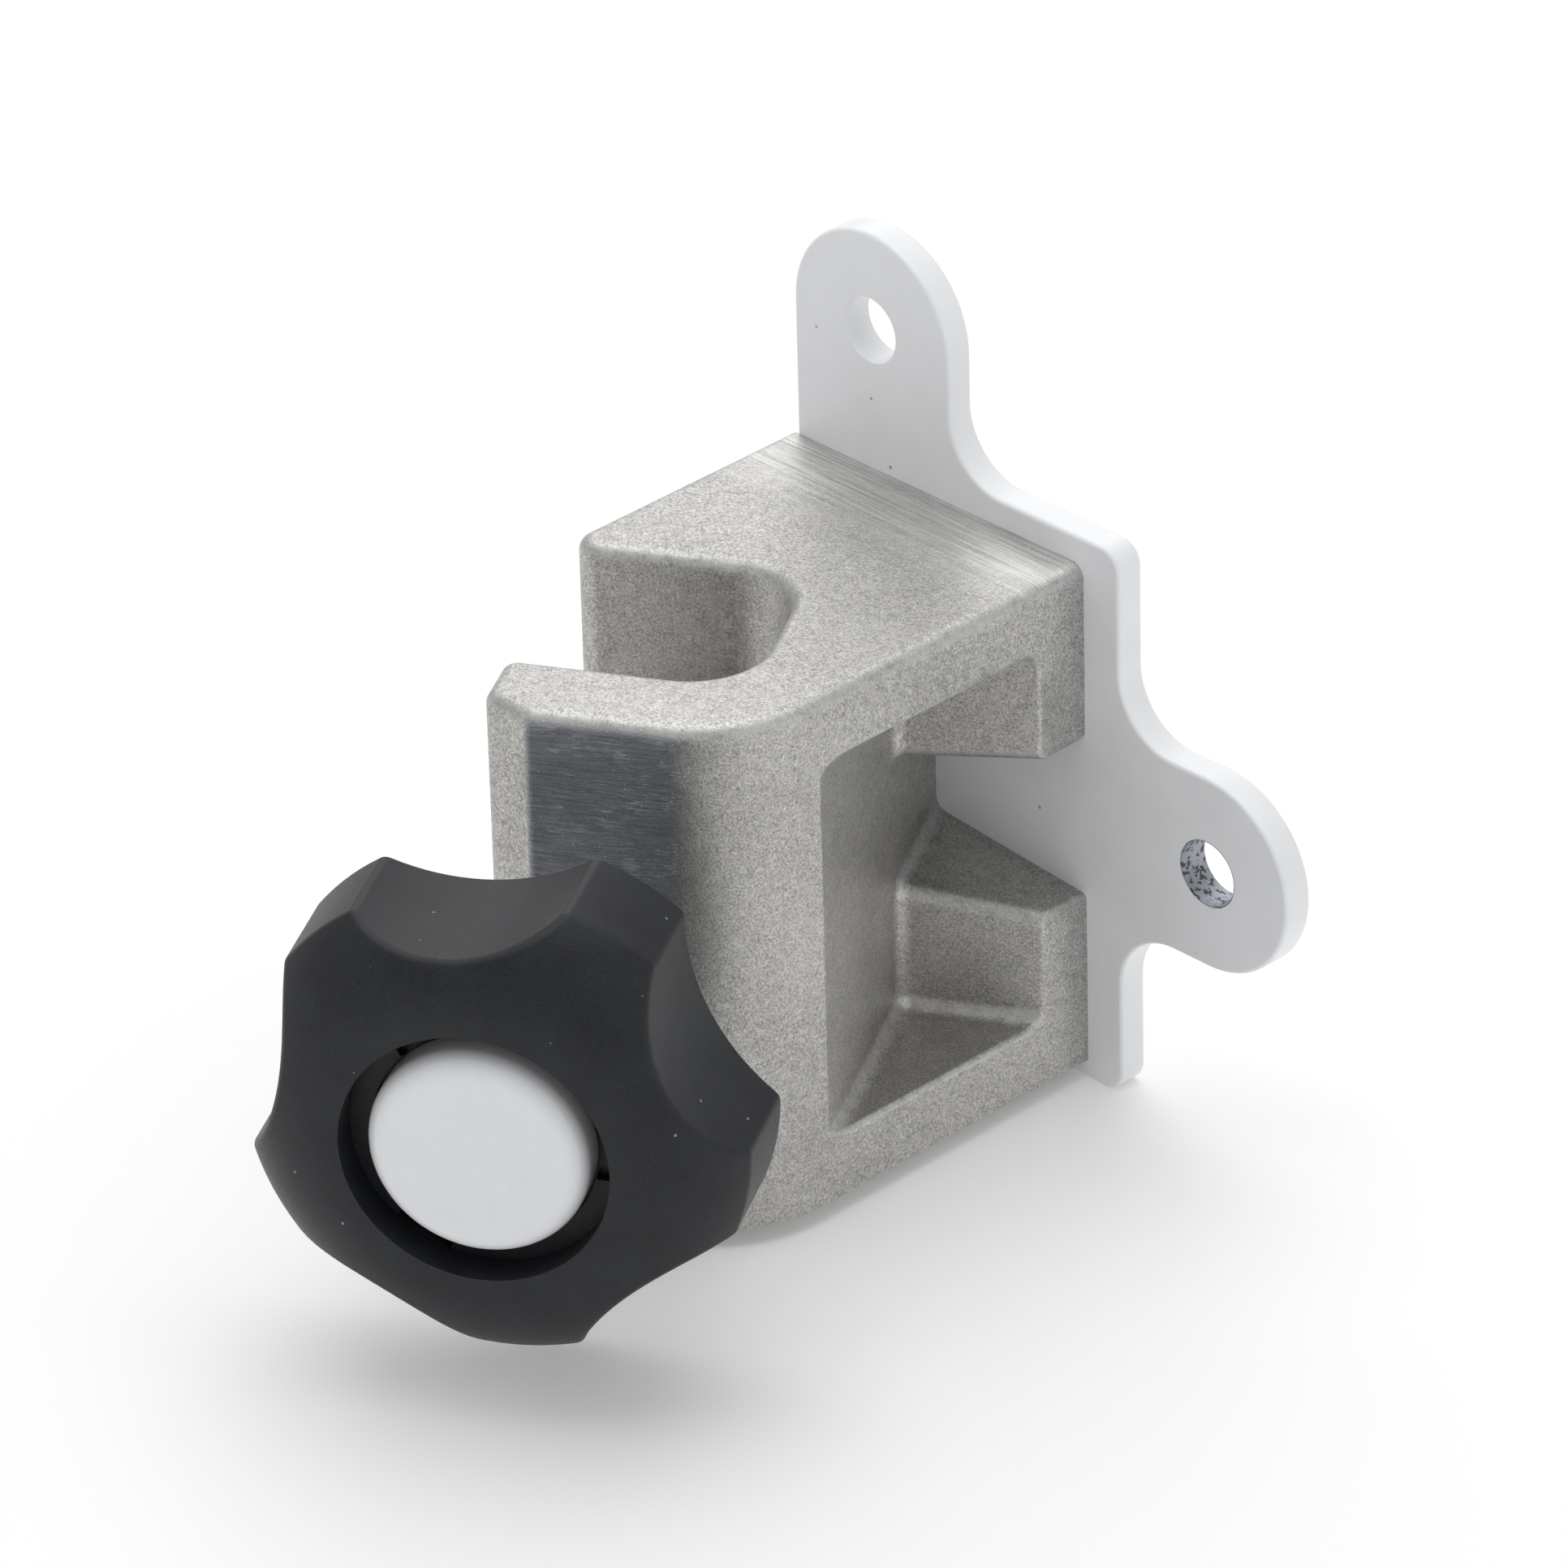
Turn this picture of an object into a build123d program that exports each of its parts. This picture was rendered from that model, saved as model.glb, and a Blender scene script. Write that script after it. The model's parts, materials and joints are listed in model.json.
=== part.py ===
from build123d import *
import os
from math import cos, radians, sin, tan

# Screw clamp bracket: a die-cast C-shaped clamp on a steel mounting plate, tightened by a
# star knob that only drives its spindle while the push button is held in.
#
# Millimetres, +Z up. The origin is on the back of the plate (y = 0), straight below the hole
# in the upper ear (x = 0) and 33.5 mm below the spindle (z = 0). The clamp stands out from
# the plate towards -Y.

# The clamp's own directions, turned from the plate: the channel opens against ALONG, and
# the spindle points out through the front jaw along OUT.
CHANNEL_ANGLE = 30.0
ALONG = Vector(cos(radians(CHANNEL_ANGLE)), sin(radians(CHANNEL_ANGLE)), 0)
OUT = Vector(sin(radians(CHANNEL_ANGLE)), -cos(radians(CHANNEL_ANGLE)), 0)

# Mounting plate
PLATE_THICKNESS = 4.0
PLATE_LEFT, PLATE_RIGHT = -12.7, 40.2
PLATE_BOTTOM, PLATE_TOP = -2.6, 70.9
PLATE_CORNER_RADIUS = 2.8
PLATE_EDGE_RADIUS = 0.5
EAR_RADIUS = 12.7
EAR_NECK_RADIUS = 8.5
EAR_HOLE_RADIUS = 4.25
UPPER_EAR = (0, 85.8)
SIDE_EAR = (54.3, 33.8)

# Countersunk M6 screws that hold the plate to the casting from behind
SCREW_PLACES = [(-2.0, 14.0), (-2.0, 53.0), (25.0, 13.0), (25.0, 54.0)]
SCREW_RADIUS = 3.0
SCREW_HEAD_RADIUS = 6.0
SCREW_HEAD_HEIGHT = 3.0
SCREW_LENGTH = 12.0
SCREW_CLEARANCE = 0.3
SCREW_SOCKET_RADIUS = 2.3
SCREW_SOCKET_DEPTH = 2.0

# Casting. Places along ALONG and stations along OUT are counted from CORNER, on the front
# of the plate.
CORNER = Vector(-13.0, -PLATE_THICKNESS, 0)
BODY_LEFT, BODY_RIGHT = -14.2, 34.6
BODY_BOTTOM, BODY_TOP = -0.35, 67.4
CHANNEL_REAR = 32.2
CHANNEL_FRONT = 59.2
CHANNEL_END = 10.5
CHANNEL_RADIUS = 9.0
JAW_FACE = 71.2
JAW_TIP = -18.2
JAW_NOSE_DEPTH = 67.8
OUTER_BEND_RADIUS = 18.5
JAW_EDGE_RADIUS = 2.0
REAR_TIP_RADIUS = 2.6
TOP_EDGE_RADIUS = 1.8
BOTTOM_EDGE_RADIUS = 0.4

# Pocket in the right side of the casting, and the gap between its two rear blocks
POCKET_WALL = 19.6
BLOCK_FACE = 30.2
POCKET_BOTTOM, POCKET_TOP = 8.4, 58.6
POCKET_REACH = 45.0
POCKET_RADIUS = 1.8
POCKET_MOUTH_RADIUS = 0.8
GAP_HEIGHT = 17.2
GAP_DRAFT = 5.4

# Spindle axis
AXIS_ALONG = -7.1
AXIS_HEIGHT = 33.5

# Threaded bush pressed into the front jaw from inside
BUSH_RADIUS = 9.0
BUSH_FLANGE_RADIUS = 12.0
BUSH_FLANGE_THICKNESS = 2.5
BUSH_PIN_RADIUS = 1.25
BUSH_PIN_LENGTH = 8.0
RUNNING_CLEARANCE = 0.05

# Spindle with a pad on its inner end
SPINDLE_RADIUS = 6.0
SPINDLE_END = 102.5
SHOULDER = 58.3
JOURNAL_RADIUS = 4.0
JOURNAL_END = 53.3
GROOVE_DEPTH = 0.8
PAD_RADIUS = 11.0
PAD_FRONT, PAD_BACK = 53.0, 57.4
PAD_POCKET_RADIUS = 7.0
PAD_POCKET_DEPTH = 1.9
FACING_RADIUS = 10.0
FACING_THICKNESS = 1.0
PAD_CLIP_START, PAD_CLIP_END = 54.1, 54.8
PAD_CLIP_RADIUS = 5.6
THRUST_WASHER_START, THRUST_WASHER_END = 57.5, 58.2
THRUST_WASHER_RADIUS = 8.0
LOOSE_CLEARANCE = 0.3
CLIP_MARGIN = 0.05

# Hub pinned to the outer end of the spindle, with a slotted flange
HUB_RADIUS = 11.0
HUB_START = 90.8
FLANGE_START, FLANGE_END = 100.0, 102.5
FLANGE_RADIUS = 14.2
DOG_COUNT = 8
DOG_SLOT_WIDTH = 4.0
DOG_SLOT_ROOT = 9.2
HUB_GROOVE_START, HUB_GROOVE_END = 91.45, 92.45
HUB_GROOVE_RADIUS = 10.0
CIRCLIP_RADIUS = 12.8
PIN_RADIUS = 1.5
PIN_STATION = 96.6
PIN_LENGTH = 21.6

# Star knob
KNOB_BACK = 91.3
KNOB_RADIUS = 29.9
KNOB_RIM = 104.0
KNOB_FRONT = 112.6
KNOB_SHOULDER_RADIUS = 25.0
KNOB_SHOULDER = 109.6
SCALLOP_COUNT = 5
SCALLOP_RADIUS = 28.0
SCALLOP_VALLEY = 24.2
SCALLOP_START_ANGLE = 25.0
KNOB_EDGE_RADIUS = 1.4
KNOB_BACK_EDGE_RADIUS = 0.6
RECESS_RADIUS = 15.9
LEDGE_FRONT, LEDGE_BACK = 108.0, 106.8
LEDGE_RADIUS = 13.3
CHAMBER_RADIUS = 14.6
CHAMBER_START = 99.9
BEARING_RADIUS = 13.0
BEARING_START, BEARING_END = 93.7, 99.8
BACK_RECESS_RADIUS = 14.0
BACK_RECESS_DEPTH = 2.3
KNOB_WASHER_START, KNOB_WASHER_END = 92.6, 93.5
KNOB_WASHER_RADIUS = 13.6
NOTCH_COUNT = 3
NOTCH_WIDTH = 7.0
NOTCH_RADIUS = 15.7
NOTCH_START = 102.4

# Push button, and the clutch ring that moves with it
BUTTON_RADIUS = 13.0
BUTTON_BACK = 106.8
BUTTON_SHOULDER = 109.9
BUTTON_CROWN = 112.6
BUTTON_CROWN_RADIUS = 10.6
BUTTON_DISH_RADIUS = 7.8
BUTTON_DISH_DEPTH = 0.45
BUTTON_CEILING = 110.4
BUTTON_SKIRT_INNER = 11.4
SPRING_GUIDE_INNER, SPRING_GUIDE_OUTER = 6.4, 7.4
SPRING_GUIDE_DEPTH = 2.0
CLUTCH_START, CLUTCH_END = 105.2, 106.7
CLUTCH_INNER, CLUTCH_OUTER = 8.6, 14.3
CLUTCH_COLLAR_INNER = 10.0
CLUTCH_COLLAR_END = 109.2
DOG_TIP = 102.9
DOG_WIDTH = 3.4
DOG_INNER, DOG_OUTER = 9.5, 13.9
LUG_WIDTH = 6.4
LUG_RADIUS = 15.4

# Return spring under the button
SEAT_THICKNESS = 0.8
SEAT_INNER, SEAT_OUTER = 3.0, 7.0
SPRING_MEAN_RADIUS = 5.2
WIRE_RADIUS = 0.5
SPRING_TURNS = 4

CLIP_OPENING_WIDTH = 5.0

# Slack for telling edges apart by where they lie
SLACK = 0.1

AXIS_FOOT = CORNER + ALONG * AXIS_ALONG + Vector(0, 0, AXIS_HEIGHT)


def plan(along, out):
    """Point seen from above, given in the clamp's own directions."""
    point = CORNER + ALONG * along + OUT * out
    return (point.X, point.Y)


def station(out):
    """Plane across the spindle axis. Local x is ALONG, local y is up, z is OUT."""
    return Plane(origin=AXIS_FOOT + OUT * out, x_dir=ALONG, z_dir=OUT)


def lengthwise():
    """Plane that holds the spindle axis. Local x is the radius, local y the station."""
    return Plane(origin=AXIS_FOOT, x_dir=ALONG, z_dir=(0, 0, -1))


def spindle_axis():
    return Axis(AXIS_FOOT, OUT)


def ring(inner, outer, start, end, mode=Mode.ADD):
    """Washer or plain cylinder about the spindle axis, from one station to another."""
    with BuildSketch(station(start)) as section:
        Circle(outer)
        if inner:
            Circle(inner, mode=Mode.SUBTRACT)
    extrude(section.sketch, amount=end - start, mode=mode)


def bore(radius, start, end):
    ring(0, radius, start, end, Mode.SUBTRACT)


def radial_bars(count, width, inner, outer, start, end, mode=Mode.ADD):
    """Evenly spaced blocks that stick out from the spindle axis."""
    with BuildSketch(station(start)) as section:
        with PolarLocations(0, count):
            with Locations(((inner + outer) / 2, 0)):
                Rectangle(outer - inner, width)
    extrude(section.sketch, amount=end - start, mode=mode)


def clip_opening(radius, start, end):
    """Slot that turns a ring into a spring clip. It opens downwards."""
    with BuildSketch(station(start)) as section:
        with Locations((0, -radius)):
            Rectangle(CLIP_OPENING_WIDTH, 2 * radius)
    extrude(section.sketch, amount=end - start, mode=Mode.SUBTRACT)


def bush_pin_cylinder(mode=Mode.ADD):
    """Pin, or its hole, along the spindle above the bush, centred on the edge of its flange."""
    with BuildSketch(station(CHANNEL_FRONT)) as section:
        with Locations((0, BUSH_FLANGE_RADIUS)):
            Circle(BUSH_PIN_RADIUS)
    extrude(section.sketch, amount=BUSH_PIN_LENGTH, mode=mode)


def near(sketch, point):
    return sketch.vertices().sort_by_distance(Vector(*point))[0]


def clear_of_plate(edge):
    return edge.center().Y < CORNER.Y - SLACK


def in_pocket(edge):
    """True for the edges of the side pocket and of the gap behind it."""
    place = edge.center() - CORNER
    beyond_wall = place.dot(ALONG) > POCKET_WALL - SLACK
    between_flanges = POCKET_BOTTOM - SLACK < place.Z < POCKET_TOP + SLACK
    return beyond_wall and between_flanges and place.Y < -SLACK


def on_right_side(edge):
    box = edge.bounding_box()
    return box.min.X > BODY_RIGHT - SLACK


# Mounting plate: one rectangle with an ear up at the left and another out to the right.
with BuildPart() as mounting_plate:
    with BuildSketch(Plane.XZ) as outline:
        with BuildLine():
            Polyline(
                (PLATE_LEFT, PLATE_BOTTOM),
                (PLATE_RIGHT, PLATE_BOTTOM),
                (PLATE_RIGHT, PLATE_TOP),
                (PLATE_LEFT, PLATE_TOP),
                close=True,
            )
        make_face()
        with Locations((UPPER_EAR[0], (PLATE_BOTTOM + UPPER_EAR[1]) / 2)):
            Rectangle(2 * EAR_RADIUS, UPPER_EAR[1] - PLATE_BOTTOM)
        with Locations(((PLATE_LEFT + SIDE_EAR[0]) / 2, SIDE_EAR[1])):
            Rectangle(SIDE_EAR[0] - PLATE_LEFT, 2 * EAR_RADIUS)
        with Locations(UPPER_EAR, SIDE_EAR):
            Circle(EAR_RADIUS)
        necks = [
            (UPPER_EAR[0] + EAR_RADIUS, PLATE_TOP),
            (PLATE_RIGHT, SIDE_EAR[1] + EAR_RADIUS),
            (PLATE_RIGHT, SIDE_EAR[1] - EAR_RADIUS),
        ]
        corners = [
            (PLATE_RIGHT, PLATE_TOP),
            (PLATE_RIGHT, PLATE_BOTTOM),
            (PLATE_LEFT, PLATE_BOTTOM),
        ]
        for neck in necks:
            fillet(near(outline, neck), EAR_NECK_RADIUS)
        for corner in corners:
            fillet(near(outline, corner), PLATE_CORNER_RADIUS)
    extrude(amount=PLATE_THICKNESS)
    rims = mounting_plate.faces().filter_by(Axis.Y).edges()
    fillet(rims, PLATE_EDGE_RADIUS)
    with BuildSketch(Plane.XZ):
        with Locations(UPPER_EAR, SIDE_EAR):
            Circle(EAR_HOLE_RADIUS)
        with Locations(*SCREW_PLACES):
            Circle(SCREW_RADIUS + SCREW_CLEARANCE)
    extrude(amount=PLATE_THICKNESS, mode=Mode.SUBTRACT)
    with BuildSketch(Plane.XZ) as countersinks:
        with Locations(*SCREW_PLACES):
            Circle(SCREW_HEAD_RADIUS + SCREW_CLEARANCE)
    with BuildSketch(Plane.XZ.offset(SCREW_HEAD_HEIGHT)) as countersink_floors:
        with Locations(*SCREW_PLACES):
            Circle(SCREW_RADIUS + SCREW_CLEARANCE)
    for mouth, floor in zip(countersinks.sketch.faces(), countersink_floors.sketch.faces()):
        loft([mouth, floor], mode=Mode.SUBTRACT)
mounting_plate.part.label = "mounting_plate"

# Plate screws: countersunk, with a hexagon socket, driven in from the back of the plate.
with BuildPart() as plate_screws:
    for x, z in SCREW_PLACES:
        with BuildSketch(Plane.XZ) as head:
            with Locations((x, z)):
                Circle(SCREW_HEAD_RADIUS)
        with BuildSketch(Plane.XZ.offset(SCREW_HEAD_HEIGHT)) as neck:
            with Locations((x, z)):
                Circle(SCREW_RADIUS)
        loft([head.sketch.face(), neck.sketch.face()])
        extrude(neck.sketch, amount=SCREW_LENGTH - SCREW_HEAD_HEIGHT)
        with BuildSketch(Plane.XZ) as socket:
            with Locations((x, z)):
                RegularPolygon(SCREW_SOCKET_RADIUS, 6)
        extrude(socket.sketch, amount=SCREW_SOCKET_DEPTH, mode=Mode.SUBTRACT)
plate_screws.part.label = "plate_screws"

# Casting: the C-shaped outline, then the side pocket, the rear gap and the drilled holes.
with BuildPart() as clamp_body:
    bend_along = (BODY_RIGHT - CORNER.X - JAW_FACE * OUT.X) / ALONG.X
    nose_along = (JAW_FACE * -OUT.Y - JAW_NOSE_DEPTH) / ALONG.Y
    nose_out = (JAW_NOSE_DEPTH + JAW_TIP * ALONG.Y) / -OUT.Y
    rear_tip_along = (BODY_LEFT - CORNER.X - CHANNEL_REAR * OUT.X) / ALONG.X
    bend = plan(bend_along, JAW_FACE)
    nose_outer = plan(nose_along, JAW_FACE)
    nose_inner = plan(JAW_TIP, nose_out)
    jaw_tip = plan(JAW_TIP, CHANNEL_FRONT)
    channel_front_corner = plan(CHANNEL_END, CHANNEL_FRONT)
    channel_rear_corner = plan(CHANNEL_END, CHANNEL_REAR)
    rear_tip = plan(rear_tip_along, CHANNEL_REAR)
    with BuildSketch(Plane.XY.offset(BODY_BOTTOM)) as c_shape:
        with BuildLine():
            Polyline(
                (BODY_LEFT, CORNER.Y),
                (BODY_RIGHT, CORNER.Y),
                bend,
                nose_outer,
                nose_inner,
                jaw_tip,
                channel_front_corner,
                channel_rear_corner,
                rear_tip,
                close=True,
            )
        make_face()
        fillet(near(c_shape, bend), OUTER_BEND_RADIUS)
        for corner in (channel_front_corner, channel_rear_corner):
            fillet(near(c_shape, corner), CHANNEL_RADIUS)
        for corner in (nose_outer, nose_inner, jaw_tip):
            fillet(near(c_shape, corner), JAW_EDGE_RADIUS)
        fillet(near(c_shape, rear_tip), REAR_TIP_RADIUS)
    extrude(amount=BODY_TOP - BODY_BOTTOM)
    top_face = clamp_body.faces().sort_by(Axis.Z)[-1]
    fillet(top_face.edges().filter_by(clear_of_plate), TOP_EDGE_RADIUS)
    bottom_face = clamp_body.faces().sort_by(Axis.Z)[0]
    fillet(bottom_face.edges().filter_by(clear_of_plate), BOTTOM_EDGE_RADIUS)

    pocket_floor = Plane(
        origin=CORNER + Vector(0, 0, POCKET_BOTTOM), x_dir=ALONG, z_dir=(0, 0, 1)
    )
    with BuildSketch(pocket_floor) as pocket:
        with Locations((POCKET_WALL, -BLOCK_FACE)):
            Rectangle(POCKET_REACH, POCKET_REACH, align=(Align.MIN, Align.MAX))
    extrude(pocket.sketch, amount=POCKET_TOP - POCKET_BOTTOM, mode=Mode.SUBTRACT)

    gap_plane = Plane(
        origin=CORNER + Vector(0, 0, AXIS_HEIGHT), x_dir=ALONG, z_dir=OUT
    )
    gap_mouth_height = GAP_HEIGHT + 2 * POCKET_REACH * tan(radians(GAP_DRAFT))
    gap_far = POCKET_WALL + POCKET_REACH
    with BuildSketch(gap_plane) as gap:
        with BuildLine():
            Polyline(
                (POCKET_WALL, -GAP_HEIGHT / 2),
                (gap_far, -gap_mouth_height / 2),
                (gap_far, gap_mouth_height / 2),
                (POCKET_WALL, GAP_HEIGHT / 2),
                close=True,
            )
        make_face()
    extrude(gap.sketch, amount=BLOCK_FACE + 1, mode=Mode.SUBTRACT)

    pocket_edges = clamp_body.edges().filter_by(in_pocket)
    fillet(pocket_edges.filter_by(on_right_side, reverse=True), POCKET_RADIUS)
    pocket_edges = clamp_body.edges().filter_by(in_pocket)
    fillet(pocket_edges.filter_by(on_right_side), POCKET_MOUTH_RADIUS)

    bore(BUSH_RADIUS, CHANNEL_FRONT - 1, JAW_FACE + 1)
    bore(BUSH_FLANGE_RADIUS, CHANNEL_FRONT - 1, CHANNEL_FRONT + BUSH_FLANGE_THICKNESS)
    bush_pin_cylinder(Mode.SUBTRACT)
    with BuildSketch(Plane.XZ.offset(PLATE_THICKNESS)) as tapped_holes:
        with Locations(*SCREW_PLACES):
            Circle(SCREW_RADIUS)
    extrude(tapped_holes.sketch, amount=SCREW_LENGTH - PLATE_THICKNESS, mode=Mode.SUBTRACT)
clamp_body.part.label = "clamp_body"

# Threaded bush: its flange sits inside the jaw, so the clamping force seats it.
with BuildPart() as spindle_bush:
    flange_end = CHANNEL_FRONT + BUSH_FLANGE_THICKNESS
    ring(0, BUSH_FLANGE_RADIUS, CHANNEL_FRONT, flange_end)
    ring(0, BUSH_RADIUS, flange_end, JAW_FACE)
    bore(SPINDLE_RADIUS + RUNNING_CLEARANCE, CHANNEL_FRONT, JAW_FACE)
    bush_pin_cylinder(Mode.SUBTRACT)
spindle_bush.part.label = "spindle_bush"

# Bush pin: half in the flange and half in the jaw, it stops the bush from turning.
with BuildPart() as bush_pin:
    bush_pin_cylinder()
bush_pin.part.label = "bush_pin"

# Spindle: threaded rod with a grooved journal for the pad and a cross hole for the pin.
with BuildPart() as spindle:
    ring(0, JOURNAL_RADIUS, JOURNAL_END, SHOULDER)
    ring(0, SPINDLE_RADIUS, SHOULDER, SPINDLE_END)
    groove_floor = JOURNAL_RADIUS - GROOVE_DEPTH
    groove_start = PAD_CLIP_START - CLIP_MARGIN
    groove_end = PAD_CLIP_END + CLIP_MARGIN
    ring(groove_floor, SPINDLE_RADIUS, groove_start, groove_end, Mode.SUBTRACT)
    with Locations(Location(station(PIN_STATION)) * Location((0, 0, 0), (90, 0, 0))):
        Cylinder(PIN_RADIUS, PIN_LENGTH, mode=Mode.SUBTRACT)
spindle.part.label = "spindle"

# Pressure pad: a disc that stays still while the spindle turns in it.
with BuildPart() as pressure_pad:
    ring(0, PAD_RADIUS, PAD_FRONT, PAD_BACK)
    bore(JOURNAL_RADIUS + RUNNING_CLEARANCE, PAD_FRONT, PAD_BACK)
    bore(PAD_POCKET_RADIUS, PAD_FRONT, PAD_FRONT + PAD_POCKET_DEPTH)
pressure_pad.part.label = "pressure_pad"

with BuildPart() as pad_facing:
    ring(0, FACING_RADIUS, PAD_FRONT - FACING_THICKNESS, PAD_FRONT)
pad_facing.part.label = "pad_facing"

with BuildPart() as pad_clip:
    ring(groove_floor, PAD_CLIP_RADIUS, PAD_CLIP_START, PAD_CLIP_END)
    clip_opening(PAD_CLIP_RADIUS, PAD_CLIP_START, PAD_CLIP_END)
pad_clip.part.label = "pad_clip"

with BuildPart() as thrust_washer:
    washer_bore = JOURNAL_RADIUS + LOOSE_CLEARANCE
    ring(washer_bore, THRUST_WASHER_RADIUS, THRUST_WASHER_START, THRUST_WASHER_END)
thrust_washer.part.label = "thrust_washer"

# Hub: the knob turns freely on its sleeve, and the dogs drive it through its flange.
with BuildPart() as spindle_hub:
    ring(0, HUB_RADIUS, HUB_START, FLANGE_START)
    ring(0, FLANGE_RADIUS, FLANGE_START, FLANGE_END)
    bore(SPINDLE_RADIUS, HUB_START, FLANGE_END)
    ring(HUB_GROOVE_RADIUS, HUB_RADIUS, HUB_GROOVE_START, HUB_GROOVE_END, Mode.SUBTRACT)
    radial_bars(
        DOG_COUNT,
        DOG_SLOT_WIDTH,
        DOG_SLOT_ROOT,
        FLANGE_RADIUS + 1,
        FLANGE_START,
        FLANGE_END,
        Mode.SUBTRACT,
    )
    with Locations(Location(station(PIN_STATION)) * Location((0, 0, 0), (90, 0, 0))):
        Cylinder(PIN_RADIUS, 2 * HUB_RADIUS, mode=Mode.SUBTRACT)
spindle_hub.part.label = "spindle_hub"

with BuildPart() as hub_pin:
    with Locations(Location(station(PIN_STATION)) * Location((0, 0, 0), (90, 0, 0))):
        Cylinder(PIN_RADIUS, PIN_LENGTH)
hub_pin.part.label = "hub_pin"

with BuildPart() as hub_circlip:
    circlip_start = HUB_GROOVE_START + CLIP_MARGIN
    circlip_end = HUB_GROOVE_END - CLIP_MARGIN
    ring(HUB_GROOVE_RADIUS, CIRCLIP_RADIUS, circlip_start, circlip_end)
    clip_opening(CIRCLIP_RADIUS, circlip_start, circlip_end)
hub_circlip.part.label = "hub_circlip"

with BuildPart() as knob_washer:
    washer_bore = HUB_RADIUS + LOOSE_CLEARANCE
    ring(washer_bore, KNOB_WASHER_RADIUS, KNOB_WASHER_START, KNOB_WASHER_END)
knob_washer.part.label = "knob_washer"

# Star knob: a domed disc with five scallops, a stepped bore and three notches in its ledge.
with BuildPart() as knob_body:
    with BuildSketch(lengthwise()) as profile:
        with BuildLine():
            Polyline(
                (RECESS_RADIUS, KNOB_FRONT),
                (0, KNOB_FRONT),
                (0, KNOB_BACK),
                (KNOB_RADIUS, KNOB_BACK),
                (KNOB_RADIUS, KNOB_RIM),
            )
            ThreePointArc(
                (KNOB_RADIUS, KNOB_RIM),
                (KNOB_SHOULDER_RADIUS, KNOB_SHOULDER),
                (RECESS_RADIUS, KNOB_FRONT),
            )
        make_face()
    revolve(profile.sketch, axis=spindle_axis())
    with BuildSketch(station(KNOB_BACK)) as scallops:
        scallop_centre = SCALLOP_VALLEY + SCALLOP_RADIUS
        with PolarLocations(scallop_centre, SCALLOP_COUNT, start_angle=SCALLOP_START_ANGLE):
            Circle(SCALLOP_RADIUS)
    extrude(scallops.sketch, amount=KNOB_FRONT - KNOB_BACK, mode=Mode.SUBTRACT)
    back_face = knob_body.faces().sort_by(spindle_axis())[0]
    front_face = knob_body.faces().sort_by(spindle_axis())[-1]
    grip_edges = knob_body.edges() - back_face.edges() - front_face.edges()
    fillet(grip_edges, KNOB_EDGE_RADIUS)
    back_face = knob_body.faces().sort_by(spindle_axis())[0]
    fillet(back_face.edges(), KNOB_BACK_EDGE_RADIUS)
    bearing_seat = KNOB_BACK + BACK_RECESS_DEPTH
    bore(BACK_RECESS_RADIUS, KNOB_BACK, bearing_seat)
    bore(BEARING_RADIUS, bearing_seat, CHAMBER_START)
    bore(CHAMBER_RADIUS, CHAMBER_START, LEDGE_BACK)
    bore(LEDGE_RADIUS, LEDGE_BACK, LEDGE_FRONT)
    bore(RECESS_RADIUS, LEDGE_FRONT, KNOB_FRONT)
    radial_bars(
        NOTCH_COUNT,
        NOTCH_WIDTH,
        BEARING_RADIUS,
        NOTCH_RADIUS,
        NOTCH_START,
        LEDGE_FRONT,
        Mode.SUBTRACT,
    )
knob_body.part.label = "knob_body"

with BuildPart() as knob_bearing:
    bearing_bore = HUB_RADIUS + RUNNING_CLEARANCE
    ring(bearing_bore, BEARING_RADIUS, BEARING_START, BEARING_END)
knob_bearing.part.label = "knob_bearing"

# Push button: a cup with a rounded crown, a dished centre and a guide for the spring.
with BuildPart() as push_button:
    with BuildSketch(lengthwise()) as profile:
        with BuildLine():
            Polyline(
                (BUTTON_CROWN_RADIUS, BUTTON_CROWN),
                (BUTTON_DISH_RADIUS, BUTTON_CROWN),
                (BUTTON_DISH_RADIUS - BUTTON_DISH_DEPTH, BUTTON_CROWN - BUTTON_DISH_DEPTH),
                (0, BUTTON_CROWN - BUTTON_DISH_DEPTH),
                (0, BUTTON_BACK),
                (BUTTON_RADIUS, BUTTON_BACK),
                (BUTTON_RADIUS, BUTTON_SHOULDER),
            )
            EllipticalCenterArc(
                (BUTTON_CROWN_RADIUS, BUTTON_SHOULDER),
                BUTTON_RADIUS - BUTTON_CROWN_RADIUS,
                BUTTON_CROWN - BUTTON_SHOULDER,
                start_angle=0,
                arc_size=90,
            )
        make_face()
    revolve(profile.sketch, axis=spindle_axis())
    bore(BUTTON_SKIRT_INNER, BUTTON_BACK, BUTTON_CEILING)
    guide_back = BUTTON_CEILING - SPRING_GUIDE_DEPTH
    ring(SPRING_GUIDE_INNER, SPRING_GUIDE_OUTER, guide_back, BUTTON_CEILING)
push_button.part.label = "push_button"

# Clutch ring: its collar is pressed into the button, its lugs slide in the knob's notches
# and its dogs drop into the hub's slots when the button is pushed.
with BuildPart() as clutch_ring:
    ring(CLUTCH_INNER, CLUTCH_OUTER, CLUTCH_START, CLUTCH_END)
    ring(CLUTCH_COLLAR_INNER, BUTTON_SKIRT_INNER, CLUTCH_END, CLUTCH_COLLAR_END)
    radial_bars(DOG_COUNT, DOG_WIDTH, DOG_INNER, DOG_OUTER, DOG_TIP, CLUTCH_START)
    radial_bars(NOTCH_COUNT, LUG_WIDTH, DOG_OUTER, LUG_RADIUS, CLUTCH_START, CLUTCH_END)
clutch_ring.part.label = "clutch_ring"

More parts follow.
